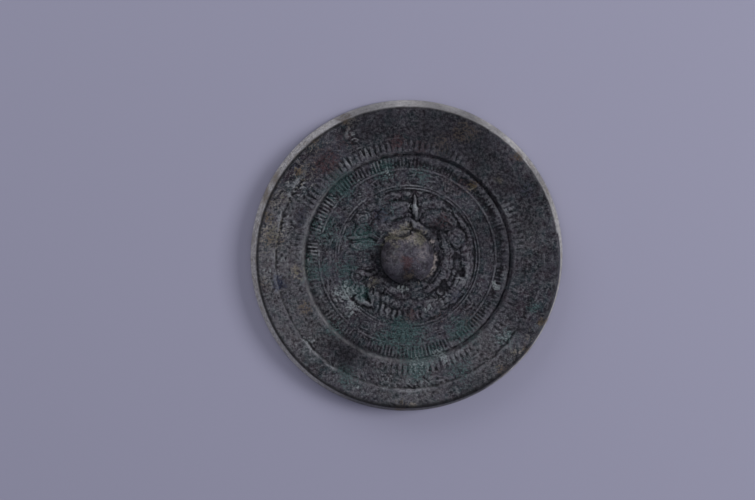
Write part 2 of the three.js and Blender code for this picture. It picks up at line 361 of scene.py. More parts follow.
def boss(side, degrees, distance, size, height, spiral=0.0):
    """A round swelling, with a spiral groove of the given pitch on it."""
    centre = on_beast(side, degrees, distance)
    away = far_from(side, degrees, distance)
    form = height * np.sqrt(np.clip(1 - (away / size) ** 2, 0, 1))
    if spiral:
        turn = np.arctan2(field_y - centre[1], field_x - centre[0])
        beat = (away / spiral - side * turn / (2 * pi)) % 1
        form = form - 0.5 * groove(beat, 0.5, 0.28) * (away < size * 0.92)
    return np.maximum(form, 0)


def head(side):
    eye = boss(side, 24.5, 20.6, 0.95, 2.4)
    socket = boss(side, 24.5, 20.6, 2.5, 1.8) - 0.7 * groove(far_from(side, 24.5, 20.6), 1.4, 0.4)
    return np.maximum.reduce([
        limb(side, [(17, 12), (11, 16.6), (8.5, 22.4)], (6.0, 7.4), 2.2, stripes=(-0.45, 0.55)),
        limb(side, [(4, 12.2), (2.6, 17), (3, 23)], (3.2, 3.2), 1.5),
        limb(side, [(14, 24.4), (19.5, 19.8), (27.5, 16.4), (30, 12.4)], (2.0, 2.2), 2.5, stripes=(0.0,)),
        boss(side, 37, 22.4, 3.3, 1.9, spiral=1.55),
        limb(side, [(31, 18.2), (42, 15.8), (57, 12.6)], (5.6, 8.6), 2.2, stripes=(-0.55, 0.0, 0.5)),
        np.maximum(socket, eye)])


def tiger():
    """Its forepaw is raised over its neck and its tail runs down the right side of the knob."""
    side, hip = 1, 155
    return np.maximum.reduce([
        head(side),
        limb(side, [(47, 14.6), (66, 18), (88, 20.4)], (7.6, 8.6), 2.3, stripes=(-0.72, 0.1)),
        limb(side, [(46, 24.8), (57, 22.4), (68, 23.2)], (3.4, 3.6), 1.5, stripes=(0.0,)),
        limb(side, [(64, 24.6), (76, 24.2), (89, 24.4)], (3.4, 2.8), 1.3, bars=5),
        limb(side, [(84, 15.2), (98, 13), (118, 12.6)], (3.6, 3.4), 1.7, stripes=(0.0,)),
        limb(side, [(99, 14.6), (95, 19), (92, 24.4)], (2.5, 1.1), 2.7),
        limb(side, [(102, 20), (113, 22.8), (128, 24.2)], (5.6, 3.8), 1.6, bars=6),
        limb(side, [(105, 14.8), (124, 18.8), (145, 21.8)], (7.4, 9.4), 2.6, stripes=(-0.5, 0.0, 0.5)),
        boss(side, hip, 19.9, 3.9, 2.4, spiral=1.5),
        limb(side, [(132, 24.7), (154, 25), (176, 24.8)], (2.4, 2.2), 1.4, bars=9),
        limb(side, [(136, 16), (168, 15.1), (206, 15), (243, 14.6)], (5.8, 5.6), 2.5, (-0.5, 0.45), 26)])


def dragon():
    """Its flank is fringed with claws. Its thick tail lies outside the tiger's, with a deep gap between."""
    side, hip = -1, 119
    claws = [limb(side, [(62 + 5.8 * k, 20.2), (63.5 + 5.8 * k, 25)], (2.0, 1.5), 1.6) for k in range(9)]
    return np.maximum.reduce([
        head(side),
        limb(side, [(38, 24.8), (48, 24.2), (60, 22.8)], (3.2, 2.8), 1.8),
        limb(side, [(42, 17.4), (53, 19.6), (61, 23.6)], (5.6, 4.2), 2.2, stripes=(0.0,)),
        limb(side, [(44, 14), (80, 14.2), (118, 14.4)], (5.0, 5.0), 2.0, stripes=(-0.6, 0.6)),
        limb(side, [(58, 18.4), (86, 18.6), (114, 19)], (4.4, 4.2), 1.9, bars=11),
        boss(side, hip, 21.2, 4.0, 2.4, spiral=1.6),
        boss(side, 138, 18.8, 1.6, 0.9), boss(side, 151, 18.9, 1.3, 0.8), boss(side, 166, 18.7, 1.3, 0.8),
        limb(side, [(118, 22.4), (148, 22.9), (176, 23.2), (208, 22.8)], (6.4, 5.6), 2.3, (-0.5, 0.5), 20),
        *claws])


fine_lines = np.zeros(field_x.shape)
for _ in range(CURLS):
    p, q = draw.uniform(-26, 26, 2)
    hair = curl(p, q, draw.uniform(0, 6.3), draw.choice((-0.9, 0.5, 0.9)), draw.uniform(1.2, 2.6))
    fine_lines = np.maximum(fine_lines, raised_line(field_x, field_y, hair, CURL_HALF_WIDTH, CURL_HEIGHT))
lift = np.maximum(tiger(), dragon()) + fine_lines
seat = np.clip(z[field] - FIELD_GROUND, 0, None)
clear_of_hole = np.where(radius[field] < 15.5, np.clip((np.abs(x[field]) - 2.8) / 1.6, 0, 1), 1.0)
relief[field] = np.maximum(lift * clear_of_hole - seat, 0)


# Two thousand years in the ground: worn highs, an uneven skin and swellings of corrosion.
def averaged(values, passes):
    """Each vertex takes the mean of its neighbours, the given number of times."""
    ends = np.empty(len(mirror.data.edges) * 2, dtype=np.int64)
    mirror.data.edges.foreach_get("vertices", ends)
    first, second = ends.reshape(-1, 2).T
    count = np.bincount(first, minlength=len(values)) + np.bincount(second, minlength=len(values))
    for _ in range(passes):
        values = (np.bincount(first, values[second], len(values))
                  + np.bincount(second, values[first], len(values))) / count
    return values


# How far the outlines of patches wander, and the size of the lumps that they wander round.
PATCH_WANDER, PATCH_LUMPS = 2.2, 5.0


def patches(places):
    """Soft-edged patches. A place is (degrees from +X, distance from the axis, size across, strength)."""
    spread = np.zeros(len(z))
    for degrees, distance, size, strength in places:
        away = np.hypot(x - distance * cos(radians(degrees)), y - distance * sin(radians(degrees))) + wander
        spread = np.maximum(spread, strength * np.clip(1.35 - away / (size / 2), 0, 1))
    return spread


def facing(centre, full, fade):
    """Strongest in the direction centre. Every fade degrees from it take 1 off full. Clipped to 0..1."""
    return np.clip(full - np.abs(turned - centre) / fade, 0, 1)


crisp = np.zeros(len(z), bool)
crisp[comb | saw | inscription] = True
relief = np.where(crisp, relief, 0.5 * relief + 0.5 * averaged(relief, 2))
wander = PATCH_WANDER * noise_at(PATCH_LUMPS, offset=11.0)
turned = (np.degrees(angle) + 180) % 360 - 180
worn_teeth = patches([
    (0, 36, 20, 0.8), (20, 36, 18, 0.8), (25, 37, 18, 0.8), (25, 43, 20, 0.8), (45, 37, 18, 0.9),
    (45, 44, 20, 0.7), (68, 37, 16, 0.7), (85, 43, 18, 0.4), (85, 44, 10, 0.5), (92, 37, 12, 0.3),
    (112, 43, 12, 0.3), (128, 43, 16, 0.6), (150, 43, 24, 0.7), (172, 43, 20, 0.85), (180, 36, 12, 0.6),
    (190, 43, 18, 0.9), (195, 36, 14, 0.8), (205, 36, 14, 0.6), (208, 43, 18, 1.0), (215, 36, 14, 0.8),
    (225, 36, 10, 0.5), (225, 42, 18, 1.0), (236, 36, 16, 0.6), (242, 42, 14, 0.7), (262, 36, 26, 0.55),
    (290, 36, 20, 0.6), (302, 43, 16, 0.8), (320, 43, 14, 0.6), (322, 37, 18, 0.6), (335, 43, 26, 0.35),
    (340, 36, 14, 0.5), (345, 37, 24, 0.75),
])
worn_clouds = patches([
    (30, 49, 18, 0.8), (60, 49, 18, 0.6), (130, 49, 12, 0.5), (215, 49, 18, 0.7), (330, 49, 16, 0.6),
])
worn_beasts = patches([
    (118, 20, 16, 0.3), (166, 20, 22, 0.35), (241, 22.5, 12, 0.7), (262, 23.5, 18, 0.75),
    (290, 23.5, 10, 0.4), (309, 18, 3.4, 0.9), (333.6, 20.5, 3.4, 1.0), (350, 18.4, 2.6, 0.9),
])
worn = np.maximum.reduce([worn_teeth, worn_clouds, worn_beasts])
kept = np.clip(0.75 + 0.6 * noise_at(8.0) + 0.6 * noise_at(2.0, 2, 9.0), 0.05, 1.1) * (1 - 0.9 * worn)
in_field = decorated & (radius < FIELD_OUTER + 0.15)
kept_in_field = np.clip(0.95 + 0.4 * noise_at(5.0, offset=5.0), 0.5, 1.05) * (1 - worn)
kept = np.where(in_field, kept_in_field, kept)

# The raised rings are worn down in places. The three inner ones last longest towards +X.
ring_kept = np.clip(0.4 + 0.9 * noise_at(10.0, offset=71.0), 0.0, 1.0)
spared = 0.9 * facing(-15, 1.5, 45)
for outer, inner, ground in ((COMB_RING_OUTER, COMB_RING_INNER, INNER_GROUND),
                             (OUTER_RING_OUTER, OUTER_RING_INNER, INNER_GROUND),
                             (INNER_RING_OUTER, INNER_RING_INNER, FIELD_GROUND)):
    ring = band_mask(inner - 0.1, outer + 0.1)
    z[ring] = ground + (z[ring] - ground) * np.maximum(ring_kept, spared)[ring]
fillet = band_mask(FILLET_INNER - 0.1, FILLET_OUTER + 0.1)
z[fillet] = OUTER_GROUND + (z[fillet] - OUTER_GROUND) * np.clip(ring_kept[fillet] - 0.35, 0, 1)

# The edge between the rim and the outer band is crisp on one side and worn away on the other.
LEDGE_INNER, LEDGE_OUTER, LEDGE_MIDDLE, RIM_SLOPE = 47.8, 53.2, 50.2, 0.134
ledge = band_mask(LEDGE_INNER, LEDGE_OUTER)
worn_away = facing(50, 1.5, 70)[ledge]
ragged = radius[ledge] + 0.4 * noise_at(4.0, 2, 19.0, ledge)
blurred = np.clip((ragged - LEDGE_MIDDLE + 2 * worn_away) / (0.8 + 4.2 * worn_away), 0, 1)
rim_line = RIM_INNER_HEIGHT + (radius[ledge] - RIM_INNER_RADIUS) * RIM_SLOPE
z[ledge] = OUTER_GROUND + (rim_line - OUTER_GROUND) * blurred ** 2 * (3 - 2 * blurred)

# The step is steep, but softer towards +X, where soil has also silted up the corner at its foot.
slope = band_mask(STEP_FOOT_RADIUS - 0.1, STEP_TOP_RADIUS + 0.6)
softened = facing(20, 1.5, 50)[slope]
ragged = radius[slope] + 0.4 * noise_at(2.4, 2, 23.0, slope)
climb = np.clip((ragged - STEP_FOOT_RADIUS - 0.5 + 0.4 * softened) / (0.9 + 0.7 * softened), 0, 1)
z[slope] = INNER_GROUND + (OUTER_GROUND - INNER_GROUND) * climb
SILT_DEPTH, SILT_INNER, SILT_WIDTH = 1.5, 36.0, 2.6
foot = band_mask(SILT_INNER - 0.5, STEP_FOOT_RADIUS + 0.3)
silted = np.clip((radius[foot] - SILT_INNER) / SILT_WIDTH + 0.25 * noise_at(3.0, 2, 41.0, foot), 0, 1)
z[foot] += SILT_DEPTH * facing(15, 1.6, 80)[foot] * silted

# An uneven crust covers it all, thinner on the knob, and the cord's channel crosses the seat.
crust = 0.16 * noise_at(1.4, 3, 31.0) + 0.16 * noise_at(5.0, 2, 57.0)
crust += 0.45 * np.clip(noise_at(2.6, 2, 83.0) - 0.2, 0, 1)
smoother = np.where(radius < KNOB_RADIUS + 0.4, 0.45, 1.0)
channel = np.clip((4.2 - np.abs(x)) / 0.9, 0, 1) * (np.abs(radius - SEAT_RADIUS + 0.7) < 2.1)
z -= channel * np.clip(z + relief * kept - SEAT_HEIGHT + 0.45, 0, None)
z += relief * kept + decorated * crust * smoother
mirror.data.vertices.foreach_set("co", (spots * MM).ravel())

# --- The cord hole --------------------------------------------------------------------------------
# An arch through the knob, left open in the casting by a clay core, with its floor just below the seat.
# Crust has lowered its upper mouth and the cord has worn the lower one. An arch-shaped bar cuts it out.
HOLE_HALF_WIDTH, HOLE_SIDE, HOLE_FLOOR = 3.1, 2.6, SEAT_HEIGHT - 0.15
THROAT_HALF_LENGTH, HOLE_REACH = 5.5, 14.2
UPPER_MOUTH, LOWER_MOUTH = 0.72, 1.2

bpy.ops.object.select_all(action="DESELECT")
bpy.ops.mesh.primitive_circle_add(
    vertices=40, radius=HOLE_HALF_WIDTH * MM, fill_type="NGON", rotation=(pi / 2, 0, 0),
    location=(0, HOLE_REACH * MM, (HOLE_FLOOR + HOLE_SIDE) * MM))
core = bpy.context.object
bpy.ops.object.transform_apply(location=True, rotation=True)
for vertex in core.data.vertices:
    if vertex.co.z < (HOLE_FLOOR + HOLE_SIDE) * MM - 1e-7:
        vertex.co.z = HOLE_FLOOR * MM
floor_point = (0, 0, HOLE_FLOOR * MM)
bpy.ops.object.mode_set(mode="EDIT")
bpy.ops.mesh.select_all(action="SELECT")
bpy.ops.transform.resize(value=(1, 1, UPPER_MOUTH), center_override=floor_point)
for length, growth in ((HOLE_REACH - THROAT_HALF_LENGTH, 1 / UPPER_MOUTH), (2 * THROAT_HALF_LENGTH, 1.0),
                       (HOLE_REACH - THROAT_HALF_LENGTH, LOWER_MOUTH)):
    bpy.ops.mesh.extrude_region_move(TRANSFORM_OT_translate={"value": (0, -length * MM, 0)})
    bpy.ops.transform.resize(value=(1, 1, growth), center_override=floor_point)
bpy.ops.mesh.select_all(action="SELECT")
bpy.ops.mesh.normals_make_consistent(inside=False)
bpy.ops.object.mode_set(mode="OBJECT")

bpy.ops.object.select_all(action="DESELECT")
mirror.select_set(True)
bpy.context.view_layer.objects.active = mirror
bpy.ops.object.mode_set(mode="EDIT")
bpy.ops.mesh.select_all(action="SELECT")
bpy.ops.mesh.normals_make_consistent(inside=False)
bpy.ops.object.mode_set(mode="OBJECT")
cut = mirror.modifiers.new("cord_hole", "BOOLEAN")
cut.operation, cut.solver, cut.object = "DIFFERENCE", "EXACT", core
bpy.ops.object.modifier_apply(modifier=cut.name)
bpy.data.objects.remove(core)
bpy.ops.object.shade_smooth_by_angle(angle=radians(50))

# --- The skin of corrosion ------------------------------------------------------------------------
# The bronze is dark grey-brown with a thin tin-rich skin. Green, blue and red salts, soil, dust and soot
# lie on it in patches, and some patches and lines are painted light and shade. Each is an attribute on the
# vertices, 0 where there is none of it.
LEVEL_PASSES, HEIGHT_SPAN = 7, 0.17
FACE_SKIN_TOP = 1.5
mesh = mirror.data
spots = np.empty(len(mesh.vertices) * 3)
mesh.vertices.foreach_get("co", spots)
spots = spots.reshape(-1, 3) / MM
x, y, z = spots[:, 0], spots[:, 1], spots[:, 2]
radius = np.hypot(x, y)
level = averaged(z, LEVEL_PASSES)
crown = KNOB_FOOT + KNOB_HEIGHT * np.sqrt(np.clip(1 - (radius / KNOB_RADIUS) ** 2, 0, 1))
in_hole = (np.abs(x) < HOLE_HALF_WIDTH + 0.1) & (radius < KNOB_RADIUS) & (z < crown - 0.25)
upper_side = (z > DECORATED_ABOVE) & (radius < LIP_RADIUS)
turned = np.degrees(np.arctan2(y, x)) % 360
wander = PATCH_WANDER * noise_at(PATCH_LUMPS, offset=11.0)


laid = []


def lay(name, values):
    """Puts one value on each vertex, under a name that the bronze skin reads it by."""
    mesh.attributes.new(name, "FLOAT", "POINT").data.foreach_set("value", np.asarray(values, np.float32))
    laid.append(name)


# Height over the mean of the vertices round it. By it the skin paints shade into the hollows and a
# highlight onto the heights, less on the step.
on_step = np.clip(1.6 - np.abs(radius - STEP_TOP_RADIUS + 0.7) / 0.9, 0, 1)
lay("height", np.clip((z - level) / HEIGHT_SPAN, -1, 1) * upper_side * (1 - 0.75 * on_step))
lay("hole", in_hole)
lay("knob", np.clip((KNOB_RADIUS + 0.3 - radius) / 0.5, 0, 1) * (z > SEAT_HEIGHT + 0.3) * ~in_hole)

# What grows or lies on the bronze, and where touch has rubbed the highest places bright. Some patches are
# painted light and shade instead: highlights on the knob and at its seat, and shade at the knob's foot, in
# the tail gaps and in the rubbed hollows.
GROWTHS = {
    "malachite": [
        (70, 32, 8, 0.5), (94, 35, 9, 0.8), (100, 20, 8, 0.5), (122, 38, 13, 0.9), (146, 19, 12, 0.9),
        (150, 33, 12, 0.6), (178, 36, 12, 0.6), (180, 24, 9, 0.7), (197, 26, 8, 1.0), (209, 22, 6, 1.0),
        (215, 40, 8, 0.6), (232, 50, 9, 0.8), (246, 33, 10, 0.7), (258, 30, 16, 0.9),
        (265, 41, 14, 1.0), (276, 38, 10, 0.8), (285, 48, 10, 0.5), (298, 35, 11, 0.9),
        (310, 49, 7, 0.7), (327, 52, 4, 0.9),
    ],
    # Salt bloom. The two at 11.6 mm, below the knob, are a painted highlight on the seat's edge.
    "bloom_and_painted_highlight": [
        (72.5, 20, 3, 1.3), (94, 34, 4, 0.9), (112, 36, 3, 0.8), (158, 21, 2, 1.0), (160, 48, 12, 0.5),
        (178, 52, 14, 0.5), (199, 28, 9, 1.0), (210, 52, 8, 0.5), (211, 28, 7, 0.9), (239, 54, 4, 0.9),
        (243, 11.6, 2, 0.9), (250, 49, 8, 0.5), (252, 11.6, 3, 1.0), (265, 41, 9, 0.6),
        (278, 40, 6, 1.0), (283, 21, 5, 1.2), (310, 49, 6, 0.6), (332.5, 35.8, 3.2, 1.6),
    ],
    "azurite": [
        (20, 52, 8, 0.4), (112, 20, 8, 0.4), (131, 55, 5, 0.6), (148, 44.5, 6, 0.6), (180, 50, 6, 0.9),
        (188, 49.5, 4, 0.7), (310, 24, 6, 0.4),
    ],
    "cuprite": [
        (33, 56, 5, 0.6), (35, 19, 8, 0.7), (45, 33, 10, 0.4), (74, 43, 7, 0.6), (85, 44, 9, 0.8),
        (108, 51, 9, 0.5), (121, 48, 12, 0.8), (176, 43, 5, 0.7), (260, 1.0, 5, 1.2), (265, 23, 6, 0.7),
        (288, 26, 7, 0.4), (305, 34, 8, 0.5),
    ],
    "ochre": [
        (33.4, 57, 5, 0.9), (36.6, 38.4, 4, 1.0), (56, 52.6, 9, 0.7), (64, 46, 8, 0.5),
        (104.6, 58.6, 5, 0.9), (118, 57, 5, 0.6), (131.5, 53, 4, 0.8), (139, 59, 6, 0.9),
        (146, 59.5, 7, 0.9), (154, 56, 6, 0.6), (162, 48.5, 4, 0.8), (163, 53.5, 6, 0.6),
        (163, 60, 6, 0.6), (180, 56, 8, 0.4), (196, 43, 6, 0.6), (257, 58, 5, 0.8), (262, 7.5, 4, 0.7),
        (300, 56.5, 5, 0.6), (312, 57.8, 5, 0.8), (325, 57.5, 4, 0.9),
    ],
    "soil": [
        (30, 46, 5, 1.3), (36, 37, 4, 0.7), (56, 10, 6, 1.0), (88, 10, 7, 1.2), (103, 57.5, 6, 0.8),
        (110, 10, 6, 1.1), (120, 59, 12, 0.7), (125, 10.3, 4, 1.0), (131, 52, 14, 0.5),
        (146, 55, 9, 0.6), (160, 54, 16, 0.75), (177, 43, 7, 0.9), (205, 17, 5, 0.6),
        (262, 57.4, 3, 1.2), (276, 8.6, 4, 1.0), (309, 56, 6, 0.7), (317, 56, 5, 0.7),
    ],
    # Dust. The two on the knob, 6 mm out at 15 and 170 degrees, are painted light.
    "dust_and_painted_light": [
        (0, 46, 16, 0.4), (15, 6, 6, 1.0), (85, 9, 8, 0.6), (150, 53, 20, 0.7), (170, 6, 9, 1.0),
        (172, 52, 34, 0.9), (200, 50, 34, 0.7), (235, 52, 20, 0.4), (262, 50, 34, 0.6),
        (300, 48, 30, 0.6),
    ],
    # Soot. The three at the knob's foot towards -X paint its shadow, and the three small ones in the tail
    # gaps paint shade.
    "soot_and_painted_shade": [
        (2, 42, 9, 0.6), (5, 37, 14, 0.6), (8, 46, 16, 0.8), (10, 31, 16, 0.6), (20, 53, 22, 0.6),
        (22, 42.5, 9, 0.8), (28, 47, 18, 0.9), (30, 15.5, 9, 0.9), (42, 43, 10, 0.9), (48, 49, 22, 1.0),
        (58, 55, 22, 0.9), (60, 44, 12, 0.9), (70, 51, 26, 1.0), (87, 54, 10, 1.0), (95, 53, 24, 0.9),
        (120, 53, 10, 0.4), (149, 44.5, 7, 0.6), (158, 44, 6, 0.5), (170, 12.5, 6, 0.9),
        (180, 47, 5, 0.5), (195, 12.5, 6, 0.9), (215, 13, 6, 0.8), (219, 44, 8, 1.1),
        (228, 43.5, 13, 1.3), (236, 42.5, 7, 1.1), (255, 7, 8, 0.9), (262, 8, 6, 0.9),
        (290, 58, 8, 0.8), (309, 18, 3.6, 1.2), (318, 52, 7, 0.7), (325, 42, 14, 0.4),
        (333.6, 20.5, 4, 1.3), (345, 42, 16, 0.5), (345, 52, 14, 0.4), (346, 37, 12, 0.5),
        (350, 18.4, 3, 1.3), (350, 33, 12, 0.5),
    ],
    # Rubbed places, bright on their heights. The skin paints deeper shade into the hollows between them.
    "rubbed_and_hollow_shade": [
        (14, 43, 12, 0.6), (20, 38, 8, 0.5), (72.5, 20, 5, 1.3), (73, 26, 8, 0.5), (80, 10, 8, 0.9),
        (97, 37, 6, 0.9), (101, 43, 6, 1.0), (104, 51, 4, 1.3), (112, 42.8, 5, 0.8), (122, 26, 8, 0.5),
        (134, 37, 7, 0.8), (137, 50, 9, 1.1), (149, 37, 8, 1.2), (152, 20, 7, 0.9), (152, 48.5, 9, 1.0),
        (165, 37, 8, 0.8), (170, 48.5, 8, 0.8), (180, 51, 7, 0.8), (201, 28, 9, 1.0),
        (212, 24, 10, 0.7), (213, 50, 6, 0.8), (225, 51, 5, 0.7), (240, 21, 8, 0.6), (262, 49, 12, 0.7),
        (268, 43, 12, 0.8), (285, 43, 9, 0.4), (296, 43, 12, 0.2), (300, 20, 8, 0.6), (310, 48, 8, 0.7),
        (330, 21, 8, 0.8), (340, 36, 6, 0.6),
    ],
}
for name, places in GROWTHS.items():
    lay(name, patches(places))

# The edge is bleached pale, paler still towards +Y with painted light, and kept dark towards -Y by painted
# shadow. A line of dirt and painted shade runs along the lip. It is darkest on the -X side and towards -Y,
# and widest towards -Y.
edge_painted_shadow = np.minimum(facing(262, 1.6, 28), 0.85)
skin_reach = 1.3 * facing(312, 1.6, 40)
lay("edge", np.clip((radius - LIP_RADIUS + 0.25 - skin_reach) / 0.3, 0, 1) * (1 - edge_painted_shadow))
lay("edge_painted_light", facing(78, 1.6, 30))
lip_reach = 0.7 + 0.5 * facing(268, 1.5, 30)
lip_line = np.clip(1.3 - np.abs(radius - LIP_RADIUS + 0.45) / lip_reach, 0, 1) * (z > LIP_HEIGHT - 1)
lay("lip_line", lip_line * np.clip(1.9 - np.abs(turned - 205) / 90 + 0.5 * noise_at(8.0), 0.2, 1))

# Pale crust and a painted highlight round the knob's foot towards +X, with a few flecks. Painted highlights
# run along the top edge of the step towards -X and of the ledge towards -X and -Y.
crescent = facing(336, 1.2, 32) * np.clip(1.3 - np.abs(radius - KNOB_RADIUS - 0.4) / 0.9, 0, 1)
flecks = patches([(12, 6, 4.5, 0.2), (23, 10.8, 2.4, 1.3), (85, 8, 6, 0.2), (160, 7, 6, 0.15)])
speckle = 0.35 + 2.2 * noise_at(1.0)
lay("crescent", np.clip(np.maximum(crescent, flecks) * speckle, 0, 1) * (z > SEAT_HEIGHT - 0.5))
step_edge = np.clip(1.6 - np.abs(radius - STEP_TOP_RADIUS + 0.5) / 0.4, 0, 1) * facing(183, 2, 55)
lay("step_painted_highlight", step_edge * np.clip(0.75 + noise_at(2.0), 0, 1))
ledge_edge = np.clip(1.5 - np.abs(radius - LEDGE_MIDDLE - 0.4) / 0.45, 0, 1) * facing(225, 1.6, 60)
lay("ledge_painted_highlight", ledge_edge * np.clip(0.5 + noise_at(3.0, offset=5.0), 0, 1))


def linear(code):
    """An sRGB hex colour as the shader's linear colour."""
    parts = [int(code[k:k + 2], 16) / 255 for k in (1, 3, 5)]
    return (*((p / 12.92 if p < 0.04045 else ((p + 0.055) / 1.055) ** 2.4) for p in parts), 1.0)


def add_node(tree, kind, inputs=None, **settings):
    """Adds a node with its settings. An input is a value, or another node's output to link."""
    made = tree.nodes.new(kind)
    for name, value in settings.items():
        setattr(made, name, value)
    for name, value in (inputs or {}).items():
        if isinstance(value, bpy.types.NodeSocket):
            tree.links.new(value, made.inputs[name])
        else:
            made.inputs[name].default_value = value
    return made.outputs


def new_skin(finish, grains, attributes=()):
    """A material, and its sources by name. A grain is (lump size in millimetres, detail, roughness)."""
    material = bpy.data.materials.new(finish)
    material.use_nodes = True
    tree = material.node_tree
    place = add_node(tree, "ShaderNodeTexCoord")["Object"]
    source = {}
    for name, (size, detail, roughness) in grains.items():
        source[name] = add_node(tree, "ShaderNodeTexNoise", {
            "Vector": place, "Scale": 1 / (size * MM), "Detail": detail, "Roughness": roughness})["Fac"]
    for name in attributes:
        source[name] = add_node(tree, "ShaderNodeAttribute", attribute_name=name)["Fac"]
    return material, tree, source


def share(tree, source, most, *terms):
    """A number times its terms. A term is a source's name, or (name, from, to), which eases it to 0 to 1,
    or (name, from, to, low, high), which eases it to low to high."""
    for term in terms:
        name, *eased = (term,) if isinstance(term, str) else term
        value = source[name]
        if eased:
            value = add_node(tree, "ShaderNodeMapRange", dict(enumerate([value, *eased])),
                             interpolation_type="SMOOTHSTEP")["Result"]
        most = add_node(tree, "ShaderNodeMath", {0: most, 1: value}, operation="MULTIPLY")[0]
    return most


def total(tree, source, *parts):
    """The sum of some sources. A part is (name, how many times it counts)."""
    so_far = 0.0
    for name, times in parts:
        so_far = add_node(tree, "ShaderNodeMath", {0: source[name], 1: times, 2: so_far},
                          operation="MULTIPLY_ADD")[0]
    return so_far


def laid_over(tree, source, below, layers):
    """Layers over a colour. A layer is (colour, most, *terms), and share says how much of it shows. Its
    colour is a hex code, another node's output, or two codes and the term that blends them."""
    for colour, *amount in layers:
        if isinstance(colour, tuple):
            low, high, term = colour
            colour = laid_over(tree, source, linear(low), [(high, 1.0, term)])
        elif isinstance(colour, str):
            colour = linear(colour)
        shown = share(tree, source, *amount)
        below = add_node(tree, "ShaderNodeMix", {"Factor": shown, 6: below, 7: colour},
                         data_type="RGBA")[2]
    return below


# Lumps of the corroded bronze. Real grains of salt are 0.1 to 0.3 mm across. The two finest sizes here
# are coarser, so that they show.
BRONZE_GRAINS = {
    "broad": (12.0, 5.0, 0.6), "gritty": (7.0, 2.0, 0.6), "middle": (4.2, 3.0, 0.6),
    "veined": (1.8, 2.0, 0.6), "fine": (1.15, 4.0, 0.7), "grain": (0.6, 3.0, 0.8),
}
# A salt is (name, rareness, how much of it shows outside its patches).
SALTS = (("malachite", 3.3, 0.6), ("bloom_and_painted_highlight", 3.6, 0.4), ("azurite", 3.3, 0.0), ("cuprite", 3.4, 0.0),
         ("soil", 3.5, 0.3), ("ochre", 3.4, 0.0))
DULL_SALTS = ("malachite", "bloom_and_painted_highlight", "soil")
GRIT = ("gritty", 0.42, 0.58, 0.35, 1.0)


